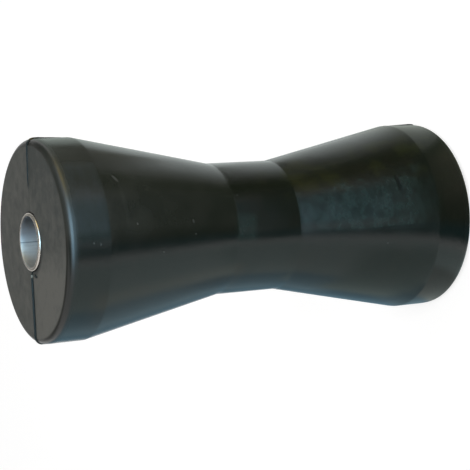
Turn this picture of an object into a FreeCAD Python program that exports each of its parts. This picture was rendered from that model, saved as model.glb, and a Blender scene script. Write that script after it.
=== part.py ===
import FreeCAD, Part
import math
import os

from FreeCAD import Vector

# Boat trailer keel roller: one moulded rubber body, narrow in the middle, bonded onto a plain steel sleeve
# that turns on the trailer's spindle. All sizes are in millimetres. The roller stands on one end of its
# sleeve, with the origin at the centre of that end and its axis along +Z.

# Rubber body: two plain rims, two cones that fall to a plain waist, and end faces that fall a little outwards
BODY_LENGTH = 203.2
RIM_DIAMETER = 88.9
RIM_WIDTH = 19.05
WAIST_DIAMETER = 60.3
WAIST_WIDTH = 31.75
END_FACE_FALL = 0.4
END_EDGE_RADIUS = 3.0
CONE_TOP_BLEND = 1.5
WAIST_BLEND = 2.0
BORE_MOUTH_CHAMFER = 0.6

# Flash: the thin fin that the joint of the mould leaves across each end face and over its edge. On the +X side it
# sinks back into the rim slowly, and on the -X side at once.
FLASH_THICKNESS = 0.5
FLASH_HEIGHT = 0.6
FLASH_FOOT_DEPTH = 0.1
FLASH_BORE_GAP = 0.6
FLASH_RIM_REACH = 1.0
FLASH_LONG_RUN_OUT = 13.5
FLASH_SHORT_RUN_OUT = 3.0

# Steel sleeve: a length of welded tube that stands a little proud of both end faces
SLEEVE_DIAMETER = 25.4
SLEEVE_WALL = 1.63
SLEEVE_PROUD = 0.8
SLEEVE_EDGE_BREAK = 0.3

# Weld seam inside the sleeve: the inner bead is planed away, which leaves a shallow flat-bottomed strip
WELD_STRIP_WIDTH = 1.6
WELD_STRIP_DEPTH = 0.12
WELD_STRIP_ANGLE = 99.0

# Rubber is bonded straight onto the steel, so the two surfaces are one
BOND_CLEARANCE = 0.0

AXIS_POINT = Vector(0, 0, 0)
UP = Vector(0, 0, 1)

sleeve_length = BODY_LENGTH + 2 * SLEEVE_PROUD
sleeve_radius = SLEEVE_DIAMETER / 2
sleeve_bore_radius = sleeve_radius - SLEEVE_WALL
body_bore_radius = sleeve_radius + BOND_CLEARANCE
mouth_radius = body_bore_radius + BORE_MOUTH_CHAMFER
rim_radius = RIM_DIAMETER / 2
half_length = BODY_LENGTH / 2
middle_height = sleeve_length / 2


def rounded_outline(corners):
    """Closed outline in the XZ plane through (radius, height, blend) corners, with tangent arcs as blends."""
    rounded = []
    for place, (radius, height, blend) in enumerate(corners):
        corner = Vector(radius, 0, height)
        before = corners[place - 1]
        after = corners[(place + 1) % len(corners)]
        back = (Vector(before[0], 0, before[1]) - corner).normalize()
        ahead = (Vector(after[0], 0, after[1]) - corner).normalize()
        half_inside = back.getAngle(ahead) / 2
        reach = blend / math.tan(half_inside)
        inward = (back + ahead).normalize()
        to_arc = blend / math.sin(half_inside) - blend
        rounded.append((corner + back * reach, corner + inward * to_arc, corner + ahead * reach, blend > 0))
    edges = []
    for place, (start, middle, end, has_arc) in enumerate(rounded):
        if has_arc:
            edges.append(Part.Arc(start, middle, end).toShape())
        next_start = rounded[(place + 1) % len(rounded)][0]
        edges.append(Part.LineSegment(end, next_start).toShape())
    return Part.Wire(edges)


def turned(outline):
    """Solid that an outline in the XZ plane gives when it is turned once round the roller's axis."""
    return Part.Face(outline).revolve(AXIS_POINT, UP, 360)


def body_section():
    """Half section of the body, the same above and below its middle."""
    upper_half = [
        (WAIST_DIAMETER / 2, WAIST_WIDTH / 2, WAIST_BLEND),
        (rim_radius, half_length - RIM_WIDTH, CONE_TOP_BLEND),
        (rim_radius, half_length - END_FACE_FALL, END_EDGE_RADIUS),
        (mouth_radius, half_length, 0.0),
        (body_bore_radius, half_length - BORE_MOUTH_CHAMFER, 0.0),
    ]
    lower_half = [(radius, -height, blend) for radius, height, blend in reversed(upper_half)]
    return rounded_outline(
        [(radius, middle_height + height, blend) for radius, height, blend in lower_half + upper_half]
    )


def flash_fin(run_out):
    """Fin on the +X side of the upper end: from near the bore, over the edge, to where it sinks into the rim."""
    start = mouth_radius + FLASH_BORE_GAP
    crest = rim_radius + FLASH_HEIGHT
    edge_height = half_length - END_FACE_FALL
    edge_foot = edge_height - END_EDGE_RADIUS
    root_radius = rim_radius - END_EDGE_RADIUS
    full_height = edge_foot - FLASH_RIM_REACH
    outline = rounded_outline(
        [(radius, middle_height + height, blend) for radius, height, blend in (
            (start, half_length + FLASH_HEIGHT, 0.0),
            (start, edge_foot, 0.0),
            (root_radius, edge_foot, 0.0),
            (root_radius, full_height - run_out, 0.0),
            (rim_radius - FLASH_FOOT_DEPTH, full_height - run_out, 0.0),
            (crest, full_height, 0.0),
            (crest, edge_height + FLASH_HEIGHT, END_EDGE_RADIUS + FLASH_HEIGHT),
        )]
    )
    outline.translate(Vector(0, -FLASH_THICKNESS / 2, 0))
    return Part.Face(outline).extrude(Vector(0, FLASH_THICKNESS, 0))


def flash():
    """All four fins: two at each end of the body, both in the plane where the mould opens."""
    fins = []
    for side, run_out in ((0, FLASH_LONG_RUN_OUT), (180, FLASH_SHORT_RUN_OUT)):
        for end in (0, 180):
            fin = flash_fin(run_out)
            fin.rotate(Vector(0, 0, middle_height), Vector(1, 0, 0), end)
            fin.rotate(AXIS_POINT, UP, side)
            fins.append(fin)
    return fins


def roller_body():
    """Moulded rubber body with its chamfered bore and its flash."""
    return turned(body_section()).fuse(flash())


def weld_strip():
    """Bar that planes the inner weld bead away along the whole sleeve."""
    bar_thickness = SLEEVE_WALL
    floor_distance = sleeve_bore_radius + WELD_STRIP_DEPTH
    bar = Part.makeBox(
        bar_thickness, WELD_STRIP_WIDTH, sleeve_length,
        Vector(floor_distance - bar_thickness, -WELD_STRIP_WIDTH / 2, 0),
    )
    bar.rotate(AXIS_POINT, UP, WELD_STRIP_ANGLE)
    return bar


def steel_sleeve():
    """Length of welded steel tube with both of its cut ends broken inside and outside."""
    inner = sleeve_bore_radius
    outer = sleeve_radius
    broken = SLEEVE_EDGE_BREAK
    section = [
        (inner + broken, 0, 0), (outer - broken, 0, 0), (outer, broken, 0),
        (outer, sleeve_length - broken, 0), (outer - broken, sleeve_length, 0),
        (inner + broken, sleeve_length, 0), (inner, sleeve_length - broken, 0), (inner, broken, 0),
    ]
    return turned(rounded_outline(section)).cut(weld_strip())


def single_solid(shape):
    """The one solid that a shape holds, with no leftover seams from its cuts."""
    return shape.removeSplitter().Solids[0]


nodes = {
    "roller_body": single_solid(roller_body()),
    "steel_sleeve": single_solid(steel_sleeve()),
}

os.makedirs("parts", exist_ok=True)
for name, solid in nodes.items():
    solid.exportStep(f"parts/{name}.step")
    print(f"{name}: valid {solid.isValid()}, {len(solid.Faces)} faces, volume {solid.Volume:.1f} mm3")
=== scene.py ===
"""Boat trailer keel roller: a moulded rubber body bonded onto a welded steel sleeve, lit as in a studio.

The roller stands on one end of its sleeve, with its axis along +Z. Sizes are in metres, and angles are in
degrees unless they are said to be in radians.
"""

import logging
import math
from dataclasses import dataclass, replace
from enum import Enum
from typing import Callable, Sequence

import bmesh
import bpy
from bpy.types import ID, Material, Mesh, Node, NodeSocket, NodeTree, Object, World
from mathutils import Matrix, Vector, noise


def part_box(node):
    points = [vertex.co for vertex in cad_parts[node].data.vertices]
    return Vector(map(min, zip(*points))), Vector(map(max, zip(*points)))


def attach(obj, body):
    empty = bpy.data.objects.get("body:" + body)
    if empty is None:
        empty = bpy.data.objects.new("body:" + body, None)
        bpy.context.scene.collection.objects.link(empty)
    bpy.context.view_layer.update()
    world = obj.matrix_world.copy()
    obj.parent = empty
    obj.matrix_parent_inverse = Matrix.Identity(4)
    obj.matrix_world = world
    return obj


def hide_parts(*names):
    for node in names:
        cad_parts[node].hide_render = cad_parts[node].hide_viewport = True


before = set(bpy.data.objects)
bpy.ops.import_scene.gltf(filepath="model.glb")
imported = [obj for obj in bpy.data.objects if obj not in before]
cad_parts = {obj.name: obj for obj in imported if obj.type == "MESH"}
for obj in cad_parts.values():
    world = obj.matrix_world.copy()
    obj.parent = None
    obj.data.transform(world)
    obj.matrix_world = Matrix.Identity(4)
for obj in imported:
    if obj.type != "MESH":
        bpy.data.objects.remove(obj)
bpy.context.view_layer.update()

ROOT_BODY = "root"
BODY_NODE = "roller_body"
SLEEVE_NODE = "steel_sleeve"
SLEEVE_PROUD = 0.0008
FULL_TURN = 2 * math.pi

log = logging.getLogger("keel_roller")

Pair = tuple[float, float]
Triple = tuple[float, float, float]
Colour = Triple
WHITE: Colour = (1.0, 1.0, 1.0)


class MaterialSlot(Enum):
    """Material slots of the record."""

    RUBBER = "rubber"
    STEEL = "sleeve_steel"


class Tone(Enum):
    """What a small mark does to the skin that it lies on."""

    PALE = "pale"
    DARK = "dark"


def arithmetic(operation: str, swapped: bool = False) -> Callable[..., "Signal"]:
    """Method of a signal that adds one math node, with the two values swapped or in their order."""

    def method(self: "Signal", other: "Value" = None) -> "Signal":
        return self.wiring.math(operation, *((other, self) if swapped else (self, other)))

    return method


@dataclass(frozen=True, eq=False)
class Signal:
    """One output of a node. Arithmetic on it adds a node to the same tree for each step."""

    wiring: "Wiring"
    socket: NodeSocket
    __add__ = arithmetic("ADD")
    __radd__ = arithmetic("ADD", swapped=True)
    __sub__ = arithmetic("SUBTRACT")
    __rsub__ = arithmetic("SUBTRACT", swapped=True)
    __mul__ = arithmetic("MULTIPLY")
    __truediv__ = arithmetic("DIVIDE")
    __rtruediv__ = arithmetic("DIVIDE", swapped=True)
    __abs__ = arithmetic("ABSOLUTE")
    above = arithmetic("GREATER_THAN")
    or_more = arithmetic("MAXIMUM")

    def ramp(self, start: "Value", end: "Value", low: float = 0.0, high: float = 1.0) -> "Signal":
        """Smooth step that goes from low at start to high at end, and stays level outside them."""
        settings = {"interpolation_type": "SMOOTHSTEP"}
        return self.wiring.result("ShaderNodeMapRange", self, start, end, low, high, **settings)

    def fall(self, start: float, end: float) -> "Signal":
        """Smooth step that goes from 1 at start to 0 at end."""
        return self.ramp(start, end, 1.0, 0.0)

    def window(self, start: float, end: float, soft: float) -> "Signal":
        """Mask that is 1 between start and end and falls to 0 over a soft border outside them."""
        return self.ramp(start - soft, start) * self.fall(end, end + soft)

    def between(self, first: "Value", second: "Value") -> "Signal":
        """Colour between two colours, with this as the share of the second."""
        return self.wiring.result("ShaderNodeMix", self, first, second, data_type="RGBA")

    def length(self) -> "Signal":
        """Length of a vector."""
        return self.wiring.vector("LENGTH", self)

    def scaled(self, factor: "Value") -> "Signal":
        """A vector times a number."""
        return self.wiring.vector("SCALE", self, factor)


Value = float | int | str | bool | tuple | Signal | Material | None


@dataclass(eq=False)
class Wiring:
    """Adds nodes to one tree, each with its settings and with its inputs filled or linked."""

    tree: NodeTree

    def fill(self, socket: NodeSocket, value: Value) -> None:
        """Links a signal into an input, or sets the input's own value; None leaves it as it is.

        Args:
            socket: The input.
            value: Signal, number, vector, opaque colour, name or material.
        """
        if isinstance(value, Signal):
            self.tree.links.new(value.socket, socket)
        elif isinstance(value, tuple) and socket.type == "RGBA":
            socket.default_value = (*value, 1.0)
        elif value is not None:
            socket.default_value = value

    def node(self, kind: str, *values: Value, **settings: object) -> Node:
        """Adds one node.

        Args:
            kind: Blender's identifier of the node type.
            *values: Values or links for the node's visible inputs, in their order.
            **settings: The node's own settings, set before its inputs are filled.

        Returns:
            The new node.
        """
        made = self.tree.nodes.new(kind)
        for name, setting in settings.items():
            setattr(made, name, setting)
        for socket, value in zip((socket for socket in made.inputs if socket.enabled), values):
            self.fill(socket, value)
        return made

    def named(self, kind: str, output: str, **values: Value) -> Signal:
        """Adds one node whose inputs are filled by name, with _ for each space.

        Args:
            kind: Blender's identifier of the node type.
            output: Name of the output that is wanted.
            **values: Values or links for its inputs.

        Returns:
            That output.
        """
        made = self.node(kind)
        for name, value in values.items():
            self.fill(made.inputs[name.replace("_", " ")], value)
        return Signal(self, made.outputs[output])

    def outputs(self, kind: str, *values: Value, **settings: object) -> dict[str, Signal]:
        """Adds one node as node() does and returns its visible outputs by name."""
        made = self.node(kind, *values, **settings)
        return {socket.name: Signal(self, socket) for socket in made.outputs if socket.enabled}

    def result(self, kind: str, *values: Value, **settings: object) -> Signal:
        """Adds one node as node() does and returns its first visible output."""
        return next(iter(self.outputs(kind, *values, **settings).values()))

    def math(self, operation: str, *values: Value) -> Signal:
        """One operation on numbers."""
        return self.result("ShaderNodeMath", *values, operation=operation)

    def vector(self, operation: str, *values: Value) -> Signal:
        """One operation on vectors."""
        return self.result("ShaderNodeVectorMath", *values, operation=operation)

    def combined(self, x: Value, y: Value, z: Value) -> Signal:
        """Vector of three numbers."""
        return self.result("ShaderNodeCombineXYZ", x, y, z)

    def split(self, vector: Signal) -> tuple[Signal, ...]:
        """The three numbers of a vector."""
        return tuple(self.outputs("ShaderNodeSeparateXYZ", vector).values())

    def turned(self, vector: Signal, angle: Value) -> Signal:
        """A vector turned round the axis by an angle in radians."""
        return self.result("ShaderNodeVectorRotate", vector, None, angle, rotation_type="Z_AXIS")

    def noise(self, place: Signal, size: float, detail: float = 3.0, roughness: float = 0.55) -> Signal:
        """Cloudy noise from 0 to 1 whose blotches are about size across."""
        values = {"Vector": place, "Scale": 1.0 / size, "Detail": detail, "Roughness": roughness}
        return self.named("ShaderNodeTexNoise", "Fac", **values)

    def streaks(self, place: Signal, stretch: Triple, detail: float, roughness: float = 0.55) -> Signal:
        """Noise from 0 to 1 that is pressed together by a factor of its own along each axis."""
        return self.noise(self.vector("MULTIPLY", place, stretch), 1.0, detail, roughness)


def emptied(owner: Material | World) -> Wiring:
    """Gives a material or a world an empty node tree, ready for wiring."""
    owner.use_nodes = True
    owner.node_tree.nodes.clear()
    return Wiring(owner.node_tree)


def placed(name: str, data: ID) -> Object:
    """New object at the origin, linked into the scene."""
    made = bpy.data.objects.new(name, data)
    bpy.context.scene.collection.objects.link(made)
    return made


@dataclass(frozen=True)
class Corner:
    """One sharp corner of a closed half section, in the order that goes out, up and back in.

    Attributes:
        radius: Distance of the corner from the axis.
        height: Height of the corner along the axis.
        blend: Radius of the arc that rounds the corner, or 0 for a point on a straight line.
        shares: How much of the relief the skin takes here, where 1 is all: of its swelling and lips, of a
            seam on the first seam's side, and of one on the other side.
        step: Spacing of the rows of points along the straight line that follows the corner.
    """

    radius: float
    height: float
    blend: float
    shares: Triple
    step: float

    def place(self) -> Vector:
        """The corner in the plane of the section."""
        return Vector((self.radius, self.height))


@dataclass(frozen=True)
class SectionPoint:
    """One point of a section with its outward direction and what it takes of the relief."""

    place: Vector
    outward: Vector
    shares: Triple


def right_of(direction: Vector) -> Vector:
    """Unit vector to the right of a direction in the plane of the section."""
    return Vector((direction.y, -direction.x)).normalized()


def section_points(corners: Sequence[Corner], arc_step: float) -> list[SectionPoint]:
    """Points along a closed section, with an arc at each corner and even steps along the straight lines.

    Args:
        corners: Corners of the section, anticlockwise with the radius to the right and the height up.
        arc_step: Longest step between points on an arc.

    Returns:
        The points in order, with no point twice.
    """
    arcs: list[list[SectionPoint]] = []
    for place, corner in enumerate(corners):
        before = corners[place - 1].place()
        after = corners[(place + 1) % len(corners)].place()
        arriving = (corner.place() - before).normalized()
        leaving = (after - corner.place()).normalized()
        turn = -arriving.angle_signed(leaving)
        reach = corner.blend * math.tan(abs(turn) / 2)
        side = math.copysign(1.0, turn)
        centre = corner.place() - arriving * reach - right_of(arriving) * corner.blend * side
        steps = max(2, math.ceil(corner.blend * abs(turn) / arc_step)) if corner.blend else 0
        arc = []
        for number in range(steps + 1):
            heading = Matrix.Rotation(turn * number / max(steps, 1), 2) @ arriving
            outward = right_of(heading)
            arc.append(SectionPoint(centre + outward * corner.blend * side, outward, corner.shares))
        arcs.append(arc)
    points: list[SectionPoint] = []
    for place, (corner, arc) in enumerate(zip(corners, arcs)):
        points.extend(arc)
        start, end = arc[-1], arcs[(place + 1) % len(arcs)][0]
        line = end.place - start.place
        steps = max(1, round(line.length / corner.step))
        for number in range(1, steps):
            way = number / steps
            shares = tuple(here + (there - here) * way for here, there in zip(start.shares, end.shares))
            points.append(SectionPoint(start.place + line * way, right_of(line), shares))
    return points


TURNED_INPUTS = (
    "Outline", "Columns", "Seams", "Crowding", "Seam Angle", "Seam Width", "Seam Rise", "Raggedness",
    "Lip Height", "Skin Radius", "Waviness", "Seed", "Finish",
)
INPUT_KINDS = {"Outline": "Geometry", "Columns": "Int", "Seams": "Int", "Seed": "Int", "Finish": "Material"}
OUTWARD = "outward"
SHARES = ("skin", "front", "back")
MERGE_DISTANCE = 1e-6
RAGGED_SIZE = 0.0022
WAVE_SIZE = 0.018
WAVE_DETAIL = 2.0
WAVE_CREST = 0.8
# Where a seam's wall and the lips beside it rise and fall, in half widths from the middle of the seam
WALL_FALL = (0.66, 1.06)
LIP_RISE = (0.95, 1.25)
LIP_FALL = (1.5, 2.9)


def turned_tree() -> NodeTree:
    """Geometry Nodes tree that turns an outline round the axis and gives its skin straight seams.

    A seam is a fin where it rises and a groove where it sinks. The columns crowd together beside each seam,
    and a seam keeps its width at every radius.

    Returns:
        The tree, whose modifier takes the outline as a ring of points in the XZ plane.
    """
    tree = bpy.data.node_groups.new("turned_outline", "GeometryNodeTree")
    for name in TURNED_INPUTS:
        kind = "NodeSocket" + INPUT_KINDS.get(name, "Float")
        tree.interface.new_socket(name=name, in_out="INPUT", socket_type=kind)
    tree.interface.new_socket(name="Geometry", in_out="OUTPUT", socket_type="NodeSocketGeometry")
    wiring = Wiring(tree)
    given = wiring.outputs("NodeGroupInput")
    outline, seams, skin_radius = given["Outline"], given["Seams"], given["Skin Radius"]
    rows = wiring.outputs("GeometryNodeAttributeDomainSize", outline, component="MESH")["Point Count"]
    sheet = wiring.result("GeometryNodeMeshGrid", 1.0, 1.0, given["Columns"] + 1, rows + 1)
    position = wiring.result("GeometryNodeInputPosition")
    along, up, _ = wiring.split(position)
    row = wiring.math("MODULO", wiring.math("ROUND", (up + 0.5) * rows), rows)

    def sampled(value: Signal, data_type: str) -> Signal:
        """Value of the outline's point that this row belongs to."""
        settings = {"data_type": data_type, "domain": "POINT"}
        return wiring.result("GeometryNodeSampleIndex", outline, value, row, **settings)

    def stored(name: str, data_type: str) -> Signal:
        """Attribute of that point by its name."""
        named = wiring.result("GeometryNodeInputNamedAttribute", name, data_type=data_type)
        return sampled(named, data_type)

    section = sampled(position, "FLOAT_VECTOR")
    outward = stored(OUTWARD, "FLOAT_VECTOR")
    skin, front, back = (stored(name, "FLOAT") for name in SHARES)
    radius, _, _ = wiring.split(section)

    even = (along + 0.5) * FULL_TURN
    angle = even - wiring.math("SINE", even * seams) * given["Crowding"] / seams
    half_gap = math.pi / seams
    off = wiring.math("WRAP", angle, half_gap, half_gap * -1.0)
    half_width = given["Seam Width"] * 0.5
    share = off * skin_radius / half_width
    held = wiring.math("MINIMUM", share, 1.0).or_more(-1.0)
    tighter = half_width / radius - half_width / skin_radius
    fading = 1.0 - abs(off) / half_gap
    column_angle = angle + held * tighter * fading + given["Seam Angle"]

    seed_shift = wiring.combined(given["Seed"], 0.0, 0.0)
    place = wiring.vector("ADD", wiring.turned(section, column_angle), seed_shift)
    ragged = wiring.noise(place, RAGGED_SIZE)
    waves = wiring.noise(place, WAVE_SIZE, WAVE_DETAIL) - WAVE_CREST

    distance = abs(share)
    wall = distance.fall(*WALL_FALL)
    lip = distance.ramp(*LIP_RISE) * distance.fall(*LIP_FALL)
    on_front = wiring.math("COSINE", angle).above(0.0)
    side_share = back + on_front * (front - back)
    rise = given["Seam Rise"] * wall * (1.0 - given["Raggedness"] * ragged)
    relief = (given["Lip Height"] * lip * ragged + given["Waviness"] * waves) * skin
    pushed = wiring.vector("ADD", section, outward.scaled(rise * side_share + relief))

    turned = wiring.turned(pushed, column_angle)
    moved = wiring.result("GeometryNodeSetPosition", sheet, None, turned)
    closed = wiring.result("GeometryNodeMergeByDistance", moved, None, MERGE_DISTANCE)
    smooth = wiring.result("GeometryNodeSetShadeSmooth", closed, None, True)
    real = wiring.result("GeometryNodeRealizeInstances", smooth)
    wiring.node("NodeGroupOutput", wiring.result("GeometryNodeSetMaterial", real, None, given["Finish"]))
    return tree


@dataclass
class TurnedPiece:
    """One closed piece that an outline gives when it is turned round the roller's axis.

    Attributes:
        name: Name of the piece.
        corners: Corners of its half section.
        arc_step: Longest step between points on an arc of the section.
        columns: Number of columns round the axis.
        skin_radius: Radius at which the columns are measured off.
        crowding: How closely the columns crowd beside a seam, from 0 to under 1.
        seams: Number of straight seams, evenly spread round the axis.
        seam_angle: Angle of the first seam from +X, in radians.
        seam_width: Width of a seam.
        seam_rise: How far a seam stands up from the skin, or under 0 how far it sinks in.
        raggedness: How much of a seam's rise is torn away at the most, from 0 to 1.
        lip_height: How far the ragged lips beside a seam stand up.
        waviness: How far the skin swells and sinks.
        seed: Seed of the raggedness and the waves.
    """

    name: str
    corners: list[Corner]
    arc_step: float
    columns: int
    skin_radius: float
    crowding: float
    seams: int
    seam_angle: float
    seam_width: float
    seam_rise: float
    raggedness: float
    lip_height: float
    waviness: float
    seed: int

    def outline(self) -> Mesh:
        """Lays out the section in the XZ plane.

        Returns:
            Ring of points, with the outward direction and the shares stored at each.
        """
        points = section_points(self.corners, self.arc_step)
        mesh = bpy.data.meshes.new(self.name)
        ring = [(number, (number + 1) % len(points)) for number in range(len(points))]
        mesh.from_pydata([(point.place.x, 0.0, point.place.y) for point in points], ring, [])
        outward = mesh.attributes.new(OUTWARD, "FLOAT_VECTOR", "POINT")
        for number, point in enumerate(points):
            outward.data[number].vector = (point.outward.x, 0.0, point.outward.y)
        for place, name in enumerate(SHARES):
            stored = mesh.attributes.new(name, "FLOAT", "POINT")
            for number, point in enumerate(points):
                stored.data[number].value = point.shares[place]
        return mesh

    def build(self, tree: NodeTree, finish: Material) -> Object:
        """Turns the outline and makes the result a plain mesh.

        Args:
            tree: The tree that turned_tree() gives.
            finish: Material of the whole piece.

        Returns:
            The piece, at the origin, with no modifier left on it.
        """
        piece = placed(self.name, self.outline())
        modifier = piece.modifiers.new("turned", "NODES")
        modifier.node_group = tree
        for name in TURNED_INPUTS[1:]:
            value = finish if name == "Finish" else getattr(self, name.lower().replace(" ", "_"))
            modifier[tree.interface.items_tree[name].identifier] = value
        seen = piece.evaluated_get(bpy.context.evaluated_depsgraph_get())
        mesh = bpy.data.meshes.new_from_object(seen)
        mesh.name = self.name
        piece.modifiers.clear()
        piece.data = mesh
        self.face_outwards(mesh)
        return piece

    @staticmethod
    def face_outwards(mesh: Mesh) -> None:
        """Turns every face of a closed mesh outwards."""
        work = bmesh.new()
        work.from_mesh(mesh)
        bmesh.ops.recalc_face_normals(work, faces=work.faces)
        if work.calc_volume(signed=True) < 0:
            bmesh.ops.reverse_faces(work, faces=work.faces)
        work.to_mesh(mesh)
        work.free()


class Skin(Wiring):
    """Wiring of a turned piece's material, with the places on the piece that its masks start from."""

    def __init__(self, name: str) -> None:
        """Starts an empty material on object coordinates.

        Args:
            name: Name of the material.
        """
        self.material = bpy.data.materials.new(name)
        super().__init__(emptied(self.material).tree)
        self.place = self.outputs("ShaderNodeTexCoord")["Object"]
        self.x, self.y, self.z = self.split(self.place)
        self.azimuth = self.math("ARCTAN2", self.y, self.x)
        self.degrees = self.math("DEGREES", self.azimuth)
        self.radius = self.combined(self.x, self.y, 0.0).length()

    def close(self, colour: Signal, roughness: Signal, heights: Signal, bump: Pair) -> Node:
        """Ends the material with one shader over fine bumps.

        Args:
            colour: Base colour.
            roughness: Roughness.
            heights: Height of the bumps, as a share of their depth.
            bump: Strength of the bumps, from 0 to 1, and their depth.

        Returns:
            The shader, for what else is set on it.
        """
        strength, depth = bump
        normal = self.named("ShaderNodeBump", "Normal", Strength=strength, Distance=depth, Height=heights)
        values = {"Base_Color": colour, "Roughness": roughness, "Normal": normal}
        surface = self.named("ShaderNodeBsdfPrincipled", "BSDF", **values)
        self.node("ShaderNodeOutputMaterial", surface)
        return surface.socket.node


@dataclass(frozen=True)
class Patch:
    """Soft-edged area of the flank: its heights and their border, then the same in degrees round it."""

    heights: Pair
    height_border: float
    azimuths: Pair
    azimuth_border: float

    def mask(self, skin: Skin) -> Signal:
        """1 in the area and 0 outside its borders."""
        up = skin.z.window(*self.heights, self.height_border)
        return up * skin.degrees.window(*self.azimuths, self.azimuth_border)


@dataclass(frozen=True)
class Mark:
    """One small scuff, scratch or speck on the flank of the rubber body.

    Attributes:
        height: Height of its middle above the floor.
        azimuth: Angle of its middle round the axis from +X, in degrees.
        half_round: Half of its length round the axis.
        half_tall: Half of its length along the axis.
        tone: Whether it is paler or darker than the skin.
        strength: How strongly it shows, from 0 to 1.
        turn: How far it is turned from straight round the axis, in degrees.
    """

    height: float
    azimuth: float
    half_round: float
    half_tall: float
    tone: Tone
    strength: float
    turn: float = 0.0


# Pale arc and mark near the top of the near cone
PALE_ARC = (
    Mark(0.1760, -69.0, 0.0125, 0.0016, Tone.PALE, 0.12, 3.0),
    Mark(0.1777, -51.2, 0.0028, 0.0011, Tone.PALE, 0.65, 38.0),
)
SCRATCHES = (
    Mark(0.0371, -64.0, 0.0066, 0.0015, Tone.DARK, 1.0, 5.0),
    Mark(0.0350, -92.3, 0.0008, 0.0240, Tone.DARK, 0.5, 2.0),
    Mark(0.0436, -8.0, 0.0036, 0.0006, Tone.DARK, 0.8, 24.0),
    Mark(0.0414, -11.0, 0.0038, 0.0006, Tone.DARK, 0.8, 24.0),
    Mark(0.0420, -18.5, 0.0034, 0.0006, Tone.DARK, 0.7, 24.0),
)
SPECKS = (
    Mark(0.1925, -88.1, 0.0006, 0.0006, Tone.PALE, 0.5),
    Mark(0.1895, -89.1, 0.0008, 0.0006, Tone.PALE, 0.6),
    Mark(0.1712, -79.3, 0.0007, 0.0005, Tone.PALE, 0.9),
    Mark(0.1425, -78.8, 0.0012, 0.0006, Tone.PALE, 0.6),
    Mark(0.1418, -87.9, 0.0005, 0.0005, Tone.PALE, 0.7),
    Mark(0.1588, -97.4, 0.0009, 0.0004, Tone.PALE, 0.9, 60.0),
    Mark(0.1161, -57.1, 0.0005, 0.0004, Tone.PALE, 0.8),
    Mark(0.0450, -103.6, 0.0005, 0.0005, Tone.PALE, 0.7),
)


@dataclass(frozen=True)
class MouldedRubber:
    """Black moulded rubber: half glossy on the flank, dusty and matt on the end faces, with painted
    reflections on the flank and painted shadow beside the bore and the lower fin.

    Attributes:
        middle: Height of the roller's middle.
        half_length: Half of the body's length.
        marks: Scuffs, scratches and specks on the flank.
    """

    middle: float
    half_length: float
    marks: tuple[Mark, ...] = PALE_ARC + SCRATCHES + SPECKS
    name: str = "moulded_rubber"
    black: Colour = (0.0034, 0.0048, 0.0030)
    brown: Colour = (0.0054, 0.0056, 0.0038)
    olive: Colour = (0.0100, 0.0120, 0.0030)
    handled: Colour = (0.0220, 0.0240, 0.0205)
    # Painted warm reflection, laid on the lower side of the near cone
    warm_reflection: Colour = (0.0150, 0.0110, 0.0050)
    # Partly hazy bloom on the rubber and partly a painted bluish window reflection
    haze_and_reflection: Colour = (0.0100, 0.0195, 0.0170)
    # Painted reflection of a window on the near rim
    rim_reflection: Colour = (0.030, 0.036, 0.038)
    pale_dust: Colour = (0.087, 0.086, 0.077)
    deep_dust: Colour = (0.034, 0.037, 0.034)
    scuff: Colour = (0.060, 0.064, 0.060)
    torn: Colour = (0.19, 0.22, 0.21)
    # Dark scratches and pits, also the painted shadow beside the bore
    dark_mark_and_shadow: Colour = (0.002, 0.003, 0.003)
    # Dark flash, also the painted shadow beside the lower fin
    flash_and_fin_shadow: Colour = (0.002, 0.007, 0.008)
    warm_reflection_patch: Patch = Patch((0.1200, 0.1850), 0.0100, (-160.0, -122.0), 9.0)
    olive_patch: Patch = Patch((0.014, 0.096), 0.012, (-54.0, -24.0), 14.0)
    waist_reflection_patch: Patch = Patch((0.1105, 0.1175), 0.0030, (-93.0, -80.0), 9.0)
    rim_reflection_patch: Patch = Patch((0.1870, 0.2010), 0.0030, (-80.0, -44.0), 6.0)
    blotch_size: float = 0.012
    patch_size: float = 0.010
    drift_size: float = 0.0065
    cloud_size: float = 0.006
    ragged_size: float = 0.0016
    grain_size: float = 0.0011
    pore_size: float = 0.00055
    flow_stretch: Triple = (60.0, 900.0, 1.0)
    wipe_stretch: Triple = (150.0, 230.0, 1.0)
    bump: Pair = (0.35, 0.00005)
    sheet_radius: float = 0.040
    mark_sway: float = 0.0009
    handled_foot: float = 0.1185
    handled_azimuths: Pair = (-78.0, -30.0)
    handled_border: float = 13.0
    haze_reflection_heights: Pair = (0.019, 0.0862)
    haze_reflection_slant: float = 100.0
    haze_reflection_drift: float = 56.0
    haze_reflection_end: Pair = (-60.0, -50.0)
    # Radii over which the painted shadow beside the bore fades out
    bore_shadow_edge: Pair = (0.0137, 0.0160)
    dust_edge: float = 0.0416
    even_dust: float = 0.42
    flash_half_width: float = 0.00034
    flash_reach: float = 0.0160
    flash_gap: Pair = (0.0, 0.0215)
    # How far the lower fin's dark strip is shifted and widened as painted shadow
    fin_shadow_shift: float = 0.00062
    fin_shadow_spread: float = 0.00060
    pale_scrap: Pair = (-0.0149, -0.0002)
    dark_streak: Triple = (-0.0146, -0.0050, 0.0)
    dark_streak_stretch: Triple = (1000.0, 380.0, 0.0)
    ior: float = 1.5
    specular_level: float = 0.5

    def build(self) -> Material:
        """The material, on object coordinates."""
        return RubberSkin(self).finished()


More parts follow.
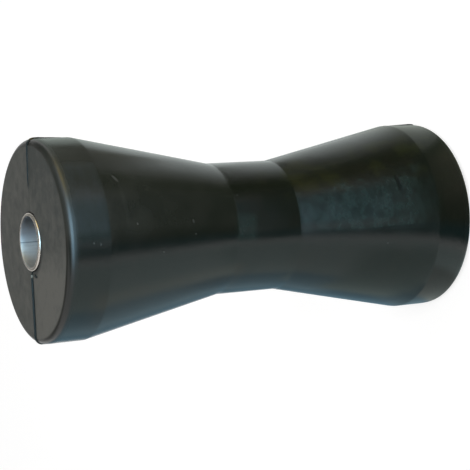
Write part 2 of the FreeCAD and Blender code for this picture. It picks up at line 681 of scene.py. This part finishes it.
class RubberSkin(Skin):
    """Wiring of the moulded rubber, with the noises and places that several of its masks share."""

    def __init__(self, look: MouldedRubber) -> None:
        """Starts the material.

        Args:
            look: Numbers and colours of the rubber.
        """
        super().__init__(look.name)
        self.look = look
        self.from_middle = abs(self.z - look.middle)
        self.sway = (self.noise(self.place, look.ragged_size, 2.0) - 0.5) * look.mark_sway
        round_length = self.azimuth * look.sheet_radius
        self.sheet = self.combined(round_length + self.sway, self.z + self.sway, 0.0)
        flat = self.combined(round_length, self.z, 0.0)
        self.flow = self.streaks(flat, look.flow_stretch, 2.0)
        self.wipes = self.streaks(flat, look.wipe_stretch, 6.0, 0.68)
        self.blotches = self.noise(self.place, look.blotch_size, 4.0)
        self.patches = self.noise(self.place, look.patch_size, 4.0)
        self.grain = self.noise(self.place, look.grain_size, 3.0)

    def marked(self, tone: Tone) -> Signal:
        """Mask from 0 to 1 of all marks of one tone, each fading from its middle to its outline."""
        total: Value = 0.0
        for mark in (mark for mark in self.look.marks if mark.tone is tone):
            middle = (math.radians(mark.azimuth) * self.look.sheet_radius, mark.height, 0.0)
            turned = (0.0, 0.0, math.radians(mark.turn))
            size = (mark.half_round, mark.half_tall, 1.0)
            own = self.result("ShaderNodeMapping", self.sheet, middle, turned, size, vector_type="TEXTURE")
            total = self.math("MAXIMUM", total, own.length().ramp(0.3, 1.0, mark.strength, 0.0))
        return total

    def flank(self) -> Signal:
        """Colour of the flank before the blue-grey layer: mottled black, paler where it is handled or
        weathered, with a painted warm reflection on the lower side of the near cone.
        """
        look, foot = self.look, self.look.handled_foot
        colour = self.blotches.ramp(0.42, 0.66).between(look.black, look.brown)
        shade = self.grain.ramp(0.25, 0.75, 0.82, 1.2) * self.flow.ramp(0.3, 0.7, 0.9, 1.1)
        colour = self.vector("MULTIPLY", colour, self.combined(shade, shade, shade))
        handled = self.z.ramp(foot, 0.2000, 0.42, 0.95) * self.z.ramp(foot - 0.002, foot)
        handled = handled * self.degrees.window(*look.handled_azimuths, look.handled_border)
        handled = handled * self.blotches.ramp(0.3, 0.7, 0.7, 1.3)
        colour = handled.between(colour, look.handled)
        # Painted warm reflection on the lower side of the near cone
        colour = (look.warm_reflection_patch.mask(self) * 0.8).between(colour, look.warm_reflection)
        return (look.olive_patch.mask(self) * self.patches.ramp(0.46, 0.66)).between(colour, look.olive)

    def hazed_and_reflecting(self) -> Signal:
        """Mask of the blue-grey layer: partly hazy bloom and partly painted window reflection on the lower
        cone up to a slanting edge, and painted window reflection alone on part of the waist.
        """
        look = self.look
        drift = (self.noise(self.place, look.drift_size, 5.0, 0.6) - 0.5) * look.haze_reflection_drift
        rising = self.degrees + self.z * look.haze_reflection_slant + drift
        cone = self.z.window(*look.haze_reflection_heights, 0.0008) * rising.fall(*look.haze_reflection_end)
        cone = cone * self.z.ramp(0.020, 0.036, 0.15, 1.0) * self.z.ramp(0.058, 0.084, 1.0, 0.6)
        cone = cone * self.degrees.ramp(-95.0, -91.0) * self.wipes.ramp(0.34, 0.62, 0.0, 1.15)
        # On the waist this mask is a painted window reflection alone
        return cone.or_more(look.waist_reflection_patch.mask(self) * self.wipes.ramp(0.2, 0.7, 0.5, 1.0))

    def dust(self) -> Signal:
        """Colour of the dusty end faces: palest low down on the near side, and dark beside the bore, where
        a crescent on the near side is painted shadow.
        """
        look = self.look
        clouds = self.noise(self.place, look.cloud_size, 6.0, 0.68)
        near_side = self.y.fall(-0.004, 0.004)
        # On the near side the end face is paler towards -X and darker towards +X
        face_paleness = self.x.ramp(-0.016, 0.002, 0.72, 0.0) + self.x.ramp(0.012, 0.036, 0.30, 0.0)
        face_paleness = look.even_dust + near_side * (face_paleness - look.even_dust)
        dust = (face_paleness + (clouds - 0.5) * 2.0).between(look.deep_dust, look.pale_dust)
        # Painted shadow in a crescent beside the bore, on the near side
        bore_shadow = self.radius.ramp(*look.bore_shadow_edge, 0.7, 0.0) * near_side
        bore_shadow = bore_shadow * self.x.fall(0.001, 0.009)
        # Dark streak where the third scrap of flash lies
        dark_streak = self.vector("SUBTRACT", self.place, look.dark_streak)
        dark_streak = self.vector("MULTIPLY", dark_streak, look.dark_streak_stretch)
        return bore_shadow.or_more(dark_streak.length().ramp(0.4, 1.1, 0.85, 0.0)).between(dust, look.dark_mark_and_shadow)

    def flash(self) -> Signal:
        """Mask of the dark flash: along its fins on the end faces and rims, and on whatever stands up, with
        painted shadow beside the lower fin.
        """
        look, half, width = self.look, self.look.half_length, self.look.flash_half_width
        # The lower fin's dark strip is shifted and widened towards the near side: painted shadow of the fin
        # on the face
        low_fin = self.x.fall(-0.012, -0.009)
        beside = abs(self.y + low_fin * look.fin_shadow_shift) - low_fin * look.fin_shadow_spread
        foot = half - look.flash_reach
        flash = beside.fall(width * 0.9, width * 1.2) * self.from_middle.ramp(foot, foot + 0.008)
        flash = flash * (1.0 - self.x.window(*look.flash_gap, 0.004))
        return flash.or_more(self.from_middle.ramp(half + 0.00012, half + 0.00022))

    def finished(self) -> Material:
        """Lays the parts of the finish over each other, from the black of the flank up to the flash.

        Returns:
            The material.
        """
        look, half = self.look, self.look.half_length
        pale, dark = self.marked(Tone.PALE), self.marked(Tone.DARK)
        # Blue-grey layer: partly hazy bloom, partly painted window reflection
        haze_and_reflection = self.hazed_and_reflecting() * (1.0 - dark)
        colour = haze_and_reflection.between(self.flank(), look.haze_and_reflection)
        # Painted window reflection on the near rim
        rim_reflection = look.rim_reflection_patch.mask(self) * self.wipes.ramp(0.34, 0.66, 0.45, 0.9)
        colour = rim_reflection.between(colour, look.rim_reflection)
        reach = self.radius + (self.sway + self.x.ramp(-0.030, -0.012, -0.0010, 0.0))
        face = self.from_middle.ramp(half - 0.0007, half - 0.00035)
        face = face * reach.fall(look.dust_edge - 0.0007, look.dust_edge + 0.0006)
        colour = face.between(colour, self.dust())
        colour = dark.between(pale.between(colour, look.scuff), look.dark_mark_and_shadow)
        colour = self.flash().between(colour, look.flash_and_fin_shadow)
        scrap = self.vector("SUBTRACT", self.place, (*look.pale_scrap, look.middle + half))
        colour = scrap.length().fall(0.0004, 0.0010).between(colour, look.torn)

        edge = self.from_middle.ramp(half - 0.0058, half - 0.0028, 0.0, 0.13)
        roughness = self.patches.ramp(0.3, 0.7, 0.19, 0.235) + edge
        roughness = roughness + haze_and_reflection * 0.016 + face * 0.28 + pale * 0.2
        heights = self.noise(self.place, look.pore_size, 2.0) * 0.35 + self.grain - dark * 1.5
        shader = self.close(colour, roughness, heights, look.bump)
        shader.inputs["IOR"].default_value = look.ior
        shader.inputs["Specular IOR Level"].default_value = look.specular_level
        return self.material


@dataclass(frozen=True)
class WeldedSteel:
    """Drawn steel tube: dull inside with a planed weld, sawn bright across its ends, with painted light and
    shade in the bore and painted shade on its proud outer wall.

    Attributes:
        bore_radius: Radius of the bore.
        edge_foot: Height at which the rounding of the upper outer edge begins.
        weld_angle: Angle of the weld from +X, in degrees.
        weld_width: Width of the planed strip.
    """

    bore_radius: float
    edge_foot: float
    weld_angle: float
    weld_width: float
    name: str = "welded_steel"
    drawn: Colour = (0.57, 0.61, 0.66)
    # Painted light: the lower side of the bore
    bright: Colour = (0.93, 0.91, 0.88)
    dull: Colour = (0.33, 0.35, 0.38)
    # Painted shade: the upper side of the bore
    painted_bore_shade: Colour = (0.17, 0.18, 0.19)
    sawn: Colour = (0.60, 0.56, 0.51)
    stain: Colour = (0.36, 0.27, 0.19)
    # Painted shadow along one edge of the planed weld strip
    seam: Colour = (0.10, 0.12, 0.14)
    # Painted shade on the sleeve's proud outer wall
    painted_wall_shade: Colour = (0.05, 0.05, 0.06)
    blotch_size: float = 0.004
    draw_stretch: Triple = (1400.0, 1400.0, 45.0)
    saw_stretch: Triple = (300.0, 2600.0, 300.0)
    bump: Pair = (0.3, 0.00003)
    metallic: float = 0.85
    # Azimuths where the painted shade on the outer wall is mostly left off
    unshaded_azimuths: Pair = (-98.0, -34.0)
    unshaded: float = 0.85

    def build(self) -> Material:
        """Builds the material.

        Returns:
            The material, on object coordinates.
        """
        skin = Skin(self.name)
        inside = skin.radius.fall(self.bore_radius + 0.0002, self.bore_radius + 0.0004)
        draw_marks = skin.streaks(skin.place, self.draw_stretch, 3.0)
        blotches = skin.noise(skin.place, self.blotch_size, 4.0)
        # Painted light: the bore is lighter towards -X
        colour = skin.x.fall(-0.0035, 0.0035).between(self.drawn, self.bright)
        colour = blotches.ramp(0.35, 0.7, 0.0, 0.14).between(colour, self.dull)
        colour = draw_marks.ramp(0.45, 0.75, 0.0, 0.14).between(colour, self.dull)
        # Painted shade: the bore is darker towards +X
        colour = skin.x.ramp(0.002, 0.010).between(colour, self.painted_bore_shade)
        lower = skin.x.fall(-self.bore_radius, -self.bore_radius * 0.6)
        colour = (lower * (blotches * 0.5)).between(colour, self.stain)
        # Painted light and shade: the bore is lighter deeper down and darker towards its mouth
        colour = colour.scaled(skin.z.ramp(self.edge_foot - 0.009, self.edge_foot, 1.15, 0.68))
        colour = inside.between(self.sawn, colour)
        # Painted shade on the proud outer wall, mostly left off over one arc of azimuths
        outside = skin.z.fall(self.edge_foot - 0.00012, self.edge_foot)
        outside = outside * skin.radius.above(self.bore_radius + 0.0008)
        unshaded = skin.degrees.window(*self.unshaded_azimuths, 12.0) * self.unshaded
        colour = (outside * (1.0 - unshaded)).between(colour, self.painted_wall_shade)

        across, beside, _ = skin.split(skin.turned(skin.place, -math.radians(self.weld_angle)))
        # Painted shadow along one edge of the planed weld strip inside the bore
        seam = abs(beside + self.weld_width / 2).ramp(0.0001, 0.0003, 0.7, 0.0)
        colour = (seam * across.above(0.0) * inside).between(colour, self.seam)

        roughness = blotches.ramp(0.3, 0.7, 0.40, 0.56) - inside.ramp(0.0, 1.0, 0.26, 0.0)
        heights = draw_marks * inside + skin.streaks(skin.place, self.saw_stretch, 2.0)
        shader = skin.close(colour, roughness, heights, self.bump)
        shader.inputs["Metallic"].default_value = self.metallic
        return skin.material


@dataclass(frozen=True)
class RollerSizes:
    """Heights of the body's ends, radii of its rims and of the sleeve, and height of the sleeve's top."""

    bottom: float
    top: float
    rim_radius: float
    sleeve_radius: float
    sleeve_top: float

    @classmethod
    def from_frame(cls) -> "RollerSizes":
        """Reads the sizes from the two nodes of the frame, past the flash that stands out on X and on Z.

        Returns:
            The sizes.
        """
        body_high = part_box(BODY_NODE)[1]
        sleeve_low, sleeve_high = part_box(SLEEVE_NODE)
        return cls(
            bottom=sleeve_low.z + SLEEVE_PROUD,
            top=sleeve_high.z - SLEEVE_PROUD,
            rim_radius=body_high.y,
            sleeve_radius=max(sleeve_high.x, sleeve_high.y),
            sleeve_top=sleeve_high.z,
        )

    @property
    def middle(self) -> float:
        """Height of the body's middle."""
        return (self.bottom + self.top) / 2

    @property
    def half_length(self) -> float:
        """Half of the body's length."""
        return (self.top - self.bottom) / 2


@dataclass(frozen=True)
class Scrap:
    """Torn scrap of flash: its place on the end face, half of its length, and its turn in degrees."""

    x: float
    y: float
    size: float
    turn: float
    width: float = 0.45
    height: float = 0.55
    tallest: float = 0.00045

    def shape(self, top: float) -> Matrix:
        """Place and size of the scrap on an end face at one height."""
        height = min(self.size * self.height, self.tallest)
        size = Matrix.Diagonal((self.size, self.size * self.width, height, 1.0))
        turned = Matrix.Rotation(math.radians(self.turn), 4, "Z")
        return Matrix.Translation((self.x, self.y, top)) @ turned @ size


@dataclass
class RubberBody:
    """The moulded body: two plain rims, two cones down to a plain waist, and flash across both ends."""

    sizes: RollerSizes
    name: str = "rubber_body"
    rim_width: float = 0.01905
    waist_radius: float = 0.03015
    waist_width: float = 0.03175
    end_face_fall: float = 0.0004
    end_edge_radius: float = 0.0030
    edge_lead: float = 0.0044
    edge_lead_angle: float = 4.0
    edge_lead_blend: float = 0.024
    cone_top_blend: float = 0.0015
    waist_blend: float = 0.0020
    mouth_chamfer: float = 0.0006
    mouth_blend: float = 0.00012
    flash_long_end: float = 0.0164
    flash_short_end: float = 0.0070
    flank_line: float = 0.10
    flank_step: float = 0.0012
    face_step: float = 0.0013
    bore_step: float = 0.0070
    scraps: tuple[Scrap, ...] = (
        Scrap(-0.0149, -0.0002, 0.0007, 80.0),
        Scrap(-0.0160, -0.0004, 0.0008, 20.0),
        Scrap(-0.0143, -0.0050, 0.0017, 82.0),
    )
    lumpiness: float = 0.35
    lump_scale: float = 2.1
    lump_shift: float = 7.0

    def corners(self) -> list[Corner]:
        """Lays out the body's half section, the same above and below its middle.

        Returns:
            Its corners.
        """
        rim, middle, half = self.sizes.rim_radius, self.sizes.middle, self.sizes.half_length
        bore = self.sizes.sleeve_radius
        mouth = bore + self.mouth_chamfer
        flank, face = self.flank_step, self.face_step
        line, whole = (1.0, self.flank_line, self.flank_line), (1.0, 1.0, 1.0)
        lead_fall = (self.edge_lead - self.end_face_fall) * math.tan(math.radians(self.edge_lead_angle))

        def down(radius: float, depth: float, blend: float, shares: Triple, step: float) -> Corner:
            """Corner at a depth below the body's upper end."""
            return Corner(radius, middle + half - depth, blend, shares, step)

        def on_face(radius: float, front: float, back: float) -> Corner:
            """Point on the end face at one radius."""
            height = half - self.end_face_fall * (radius - mouth) / (rim - mouth)
            return Corner(radius, middle + height, 0.0, (1.0, front, back), face)

        upper = [
            Corner(self.waist_radius, middle + self.waist_width / 2, self.waist_blend, line, flank),
            down(rim, self.rim_width, self.cone_top_blend, line, flank),
            down(rim, self.flash_long_end, 0.0, line, flank),
            down(rim, self.flash_short_end, 0.0, (1.0, 0.8, self.flank_line), flank),
            down(rim, self.edge_lead, self.edge_lead_blend, (1.0, 1.0, 0.9), flank),
            down(rim - lead_fall, self.end_face_fall, self.end_edge_radius, whole, face),
            on_face(0.0270, 0.85, 1.08),
            on_face(0.0225, 0.30, 1.08),
            on_face(0.0146, 0.15, 1.08),
            down(mouth, 0.0, self.mouth_blend, (1.0, 0.0, 0.0), face),
            down(bore, self.mouth_chamfer, self.mouth_blend, (0.0, 0.0, 0.0), self.bore_step),
        ]
        steps_below = [flank, *[corner.step for corner in upper[:-1]]]
        lower = [
            replace(corner, height=2 * middle - corner.height, step=step)
            for corner, step in zip(upper, steps_below)
        ]
        return lower[::-1] + upper

    def add_scraps(self, piece: Object) -> None:
        """Adds the torn scraps of flash that stand where the parting line meets the bore.

        Args:
            piece: The finished body.
        """
        work = bmesh.new()
        work.from_mesh(piece.data)
        work.faces.ensure_lookup_table()
        finish = work.faces[0].material_index
        for number, scrap in enumerate(self.scraps):
            made = bmesh.ops.create_icosphere(work, subdivisions=3, radius=1.0)
            shape = scrap.shape(self.sizes.top)
            shift = Vector((number * self.lump_shift, 0.0, 0.0))
            for vertex in made["verts"]:
                lump = noise.noise(vertex.co * self.lump_scale + shift)
                vertex.co = shape @ (vertex.co * (1.0 + self.lumpiness * lump))
            for face in {face for vertex in made["verts"] for face in vertex.link_faces}:
                face.smooth = True
                face.material_index = finish
        work.to_mesh(piece.data)
        work.free()

    def build(self, tree: NodeTree) -> Object:
        """Builds the body and dresses it in rubber.

        Args:
            tree: The tree that turned_tree() gives.

        Returns:
            The body as one piece.
        """
        piece = TurnedPiece(
            name=self.name, corners=self.corners(), arc_step=0.00033,
            columns=256, skin_radius=self.sizes.rim_radius, crowding=0.95,
            seams=2, seam_angle=0.0, seam_width=0.0005, seam_rise=0.0006,
            raggedness=0.25, lip_height=0.00005, waviness=0.00010, seed=3,
        ).build(tree, MouldedRubber(self.sizes.middle, self.sizes.half_length).build())
        self.add_scraps(piece)
        return piece


@dataclass
class SleeveTube:
    """The steel sleeve: a length of welded tube that stands a little proud of the rubber."""

    sizes: RollerSizes
    name: str = "sleeve_tube"
    wall: float = 0.00163
    edge_break: float = 0.0003
    outer_round: float = 0.0008
    edge_blend: float = 0.00012
    weld_width: float = 0.0016
    weld_depth: float = 0.00013
    weld_angle: float = 99.0
    weld_fade: float = 0.0040
    wall_step: float = 0.0018

    def corners(self) -> list[Corner]:
        """Lays out the section of the tube's wall.

        Returns:
            Its corners.
        """
        outer = self.sizes.sleeve_radius
        inner = outer - self.wall
        top, broken, blend = self.sizes.sleeve_top, self.edge_break, self.edge_blend
        ring, step = self.wall / 6, self.wall_step
        still, partly, fully = (0.0, 0.0, 0.0), (0.5, 0.25, 0.25), (1.0, 1.0, 1.0)
        return [
            Corner(inner + broken, 0.0, blend, still, ring),
            Corner(outer - broken, 0.0, blend, still, ring),
            Corner(outer, broken, blend, still, step * 4),
            Corner(outer, top, self.outer_round, still, ring),
            Corner(inner + broken, top, blend, still, ring),
            Corner(inner, top - broken, blend, partly, step),
            Corner(inner, top - self.weld_fade, 0.0, fully, step),
            Corner(inner, self.weld_fade, 0.0, fully, step),
            Corner(inner, broken, blend, partly, ring),
        ]

    def build(self, tree: NodeTree) -> Object:
        """Builds the sleeve and dresses it in steel.

        Args:
            tree: The tree that turned_tree() gives.

        Returns:
            The sleeve as one piece.
        """
        inner = self.sizes.sleeve_radius - self.wall
        edge_foot = self.sizes.sleeve_top - self.outer_round
        return TurnedPiece(
            name=self.name, corners=self.corners(), arc_step=0.0001,
            columns=220, skin_radius=inner, crowding=0.7,
            seams=1, seam_angle=math.radians(self.weld_angle), seam_width=self.weld_width,
            seam_rise=-self.weld_depth, raggedness=0.0, lip_height=0.00002, waviness=0.00004, seed=11,
        ).build(tree, WeldedSteel(inner, edge_foot, self.weld_angle, self.weld_width).build())


def dressed(piece: Object, node: str) -> None:
    """Says what a finished piece rides on and which node it stands for, and hides that node.

    Args:
        piece: The finished piece.
        node: Node of the frame that it replaces.
    """
    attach(piece, ROOT_BODY)
    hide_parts(node)
    triangles = sum(len(face.vertices) - 2 for face in piece.data.polygons)
    log.info("%s: %d triangles, stands for %s", piece.name, triangles, node)


class Reach(Enum):
    """Shape of a card that only mirrored light sees."""

    FLOOR = "floor"
    UPRIGHT = "upright"


@dataclass(frozen=True)
class Card:
    """Paper card that only reflections see, as a photographer sets round a dark glossy thing.

    Attributes:
        name: Name of the card.
        reach: Whether it lies flat or stands upright round the roller.
        azimuths: Where it begins and ends round the axis from +X, in degrees.
        near: Distance from the axis to a flat card's near edge, or to the whole of an upright card.
        far: Distance to a flat card's far edge, or an upright card's upper edge above the floor.
        low: Height at which a flat card lies, or of an upright card's lower edge.
        colour: Colour of the card.
        soft: Widths of the soft edges at both sides, at the near or lower edge and at the far or upper
            edge, as shares of its size.
        strength: How bright the card is, where 1 is paper.
    """

    name: str
    reach: Reach
    azimuths: Pair
    near: float
    far: float
    low: float
    colour: Colour
    soft: Triple = (0.08, 0.0, 0.10)
    strength: float = 1.0
    columns: int = 24

    def mesh(self) -> Mesh:
        """Makes a curved strip round the axis.

        Returns:
            The strip, with a map that runs from 0 to 1 along and across it.
        """
        start, end = (math.radians(angle) for angle in self.azimuths)
        vertices, spots = [], []
        for number in range(self.columns + 1):
            share = number / self.columns
            angle = start + (end - start) * share
            for across in (0.0, 1.0):
                if self.reach is Reach.FLOOR:
                    distance, height = self.near + (self.far - self.near) * across, self.low
                else:
                    distance, height = self.near, self.low + (self.far - self.low) * across
                vertices.append((distance * math.cos(angle), distance * math.sin(angle), height))
                spots.append((share, across))
        firsts = range(0, 2 * self.columns, 2)
        mesh = bpy.data.meshes.new(self.name)
        mesh.from_pydata(vertices, [], [(first, first + 1, first + 3, first + 2) for first in firsts])
        layer = mesh.uv_layers.new(name="card")
        for loop in mesh.loops:
            layer.data[loop.index].uv = spots[loop.vertex_index]
        return mesh

    def material(self) -> Material:
        """Makes an even glow that fades to nothing at the card's edges.

        Returns:
            The material.
        """
        material = bpy.data.materials.new(self.name)
        wiring = emptied(material)
        along, across, _ = wiring.split(wiring.outputs("ShaderNodeTexCoord")["UV"])
        side, lower, upper = self.soft
        edge: Value = 1.0
        for axis, first, last in ((along, side, side), (across, lower, upper)):
            if first:
                edge = wiring.math("MULTIPLY", edge, axis.ramp(0.0, first))
            if last:
                edge = wiring.math("MULTIPLY", edge, axis.fall(1.0 - last, 1.0))
        glow = wiring.result("ShaderNodeEmission", self.colour, self.strength)
        clear = wiring.result("ShaderNodeBsdfTransparent")
        wiring.node("ShaderNodeOutputMaterial", wiring.result("ShaderNodeMixShader", edge, clear, glow))
        return material

    def build(self) -> None:
        """Sets the card up, hidden from everything but mirrored light."""
        card = placed(self.name, self.mesh())
        card.data.materials.append(self.material())
        for ray in ("camera", "diffuse", "transmission", "volume_scatter", "shadow"):
            setattr(card, f"visible_{ray}", False)


@dataclass(frozen=True)
class Lamp:
    """Soft square lamp that looks at the roller's middle, with its power in watts."""

    name: str
    azimuth: float
    elevation: float
    distance: float
    size: float
    power: float
    colour: Colour = (1.0, 0.99, 0.97)

    def build(self, target: Vector) -> None:
        """Sets the lamp up. It lights the roller, and its mirror image is left to the cards.

        Args:
            target: Point that the lamp looks at.
        """
        data = bpy.data.lights.new(self.name, "AREA")
        data.shape = "SQUARE"
        data.size = self.size
        data.energy = self.power
        data.color = self.colour
        lamp = placed(self.name, data)
        back = direction(self.azimuth, self.elevation)
        lamp.location = target + back * self.distance
        lamp.rotation_mode = "QUATERNION"
        lamp.rotation_quaternion = (-back).to_track_quat("-Z", "Y")
        lamp.visible_glossy = False


def direction(azimuth: float, elevation: float) -> Vector:
    """Unit vector at an azimuth from +X and an elevation above the floor, both in degrees."""
    around, up = math.radians(azimuth), math.radians(elevation)
    return Vector((math.cos(around) * math.cos(up), math.sin(around) * math.cos(up), math.sin(up)))


FLAT = Reach.FLOOR
UPRIGHT = Reach.UPRIGHT


@dataclass
class Studio:
    """White studio: a floor, an even white surround, soft lamps, and cards that shape the reflections.

    Of two flat cards that overlap, the higher one hides the lower.
    """

    target: Vector
    floor_radius: float = 6.0
    floor_colour: Colour = (0.80, 0.80, 0.80)
    floor_glow: float = 0.80
    floor_shade: float = 0.32
    world_light: float = 0.35
    lamps: tuple[Lamp, ...] = (
        Lamp("key_lamp", -80.0, 56.0, 1.3, 0.7, 8.5),
        Lamp("top_lamp", 12.0, 52.0, 1.4, 0.8, 4.8),
    )
    cards: tuple[Card, ...] = (
        Card("pale_paper", FLAT, (-194, -107), 0.0, 1.8, 0.0002, (0.71, 0.87, 0.86), (0.17, 0.0, 0.1)),
        Card("side_paper", FLAT, (0, 84), 0.0, 1.8, 0.0002, (0.88, 0.96, 0.94)),
        Card("far_side_paper", FLAT, (-4, 84), 0.2, 1.8, 0.00025, (0.58, 0.66, 0.61), (0.08, 0.2, 0.1)),
        Card("back_paper", FLAT, (116, 186), 0.0, 1.8, 0.0003, (0.21, 0.36, 0.45)),
        Card("far_back_paper", FLAT, (137, 193), 0.155, 1.8, 0.00035, (0.42, 0.64, 0.75), (0.2, 0.03, 0.1)),
        Card("near_paper", FLAT, (154, 204), 0.0, 0.12, 0.0004, (0.26, 0.40, 0.47), (0.1, 0.0, 0.3)),
        Card("dark_side_paper", FLAT, (-66, 30), 0.0, 1.8, 0.0005, (0.10, 0.13, 0.07), (0.45, 0.0, 0.1)),
        Card("rim_side_paper", FLAT, (-2, 46), 0.215, 0.70, 0.00055, (0.21, 0.22, 0.18), (0.2, 0.1, 0.1)),
        Card("near_side_paper", FLAT, (-46, 84), 0.0, 0.118, 0.0006, (0.60, 0.66, 0.60), (0.3, 0.0, 0.6)),
        Card("blue_paper", FLAT, (-98, -38), 0.20, 1.8, 0.0007, (0.14, 0.31, 0.34), (0.2, 0.05, 0.1)),
        Card("dark_paper", FLAT, (-108, -26), 0.0, 0.25, 0.0008, (0.11, 0.15, 0.10), (0.07, 0.0, 0.16)),
        Card("foot_paper", FLAT, (-88, -22), 0.0, 0.09, 0.00085, (0.32, 0.33, 0.24), (0.4, 0.0, 0.5)),
        Card("low_paper", FLAT, (-176, -128), 0.0, 0.09, 0.00095, (0.46, 0.53, 0.51), (0.2, 0.0, 0.3)),
        Card("low_card", UPRIGHT, (-200, -112), 0.10, 0.048, 0.001, (0.50, 0.64, 0.62), (0.15, 0.0, 0.2)),
        Card("gap_paper", FLAT, (-113, -90), 0.0, 1.8, 0.0009, (0.06, 0.16, 0.17), (0.42, 0.0, 0.1)),
        Card("window_card", UPRIGHT, (-122, -34), 0.75, 0.9, 0.03, (0.48, 0.78, 1), (0.42, 0.22, 0.45), 8),
        Card("warm_card", UPRIGHT, (-52, 14), 0.75, 0.6, 0.03, (1, 0.72, 0.12), (0.45, 0.22, 0.45), 2.3),
        Card("dark_side_card", UPRIGHT, (0, 66), 1.1, 1.7, 0.26, (0.10, 0.12, 0.11), (0.1, 0.1, 0.1)),
        Card("dark_roof", FLAT, (-150, 106), 0.0, 1.6, 1.7, (0.15, 0.17, 0.16), (0.05, 0.0, 0.1)),
        Card("grey_card", UPRIGHT, (50, 150), 1.0, 2.2, 0.30, (0.20, 0.20, 0.19), (0.1, 0.1, 0.1)),
    )

    @staticmethod
    def bare_rays(wiring: Wiring) -> Signal:
        """1 for the rays that see the white surround itself: camera, mirrored and transmitted rays."""
        path = wiring.outputs("ShaderNodeLightPath")
        return path["Is Camera Ray"].or_more(path["Is Glossy Ray"]).or_more(path["Is Transmission Ray"])

    def build_floor(self) -> None:
        """Builds a round floor that shows white and keeps the roller's soft shadow."""
        mesh = bpy.data.meshes.new("studio_floor")
        work = bmesh.new()
        bmesh.ops.create_circle(work, cap_ends=True, segments=96, radius=self.floor_radius)
        work.to_mesh(mesh)
        work.free()
        material = bpy.data.materials.new("white_floor")
        wiring = emptied(material)
        plain = wiring.result("ShaderNodeBsdfDiffuse", self.floor_colour)
        faint = wiring.result("ShaderNodeBsdfDiffuse", (self.floor_shade,) * 3)
        glow = wiring.result("ShaderNodeEmission", WHITE, self.floor_glow)
        shown = wiring.result("ShaderNodeAddShader", faint, glow)
        surface = wiring.result("ShaderNodeMixShader", self.bare_rays(wiring), plain, shown)
        wiring.node("ShaderNodeOutputMaterial", surface)
        mesh.materials.append(material)
        floor = placed("studio_floor", mesh)

    def build_world(self) -> None:
        """Builds a surround: white for the camera and reflections, a plain soft light for the rest."""
        world = bpy.data.worlds.new("studio")
        wiring = emptied(world)
        light = wiring.result("ShaderNodeBackground", WHITE, self.world_light)
        white = wiring.result("ShaderNodeBackground", WHITE, 1.0)
        surface = wiring.result("ShaderNodeMixShader", self.bare_rays(wiring), light, white)
        wiring.node("ShaderNodeOutputWorld", surface)
        bpy.context.scene.world = world

    def build(self) -> None:
        """Builds the whole studio."""
        self.build_floor()
        self.build_world()
        for lamp in self.lamps:
            lamp.build(self.target)
        for card in self.cards:
            card.build()
        bpy.context.scene.view_settings.view_transform = "Standard"


@dataclass
class PictureCamera:
    """Camera that sees the standing roller lying across the picture, near end to the left.

    Attributes:
        aim: Point on the optical axis, which the distance and the two angles of the camera start from.
        roll: Turn of the picture from upright +X, in degrees.
        lens: Focal length, in millimetres as the sensor's width is.
    """

    aim: Vector
    distance: float = 0.63441
    azimuth: float = -84.787
    elevation: float = 27.657
    roll: float = 1.905
    lens: float = 104.593
    sensor: float = 36.0

    def build(self) -> None:
        """Makes the camera and gives it to the scene."""
        back = direction(self.azimuth, self.elevation)
        level = (-back).cross(Vector((1.0, 0.0, 0.0))).normalized()
        right = Matrix.Rotation(math.radians(self.roll), 3, -back) @ level
        data = bpy.data.cameras.new("picture_camera")
        data.lens = self.lens
        data.sensor_width = self.sensor
        data.clip_start = 0.01
        camera = placed("picture_camera", data)
        rotation = Matrix((right, back.cross(right), back)).transposed().to_4x4()
        camera.matrix_world = Matrix.Translation(self.aim + back * self.distance) @ rotation
        bpy.context.scene.camera = camera


def main() -> None:
    """Builds the roller, the studio and the camera, in that order."""
    logging.basicConfig(level=logging.INFO, format="%(name)s: %(message)s")
    sizes = RollerSizes.from_frame()
    tree = turned_tree()
    dressed(RubberBody(sizes).build(tree), BODY_NODE)
    dressed(SleeveTube(sizes).build(tree), SLEEVE_NODE)
    middle = Vector((0.0, 0.0, sizes.sleeve_top / 2))
    Studio(target=middle).build()
    PictureCamera(aim=Vector((-0.003633, 0.0, 0.104448))).build()


if __name__ == "__main__":
    main()
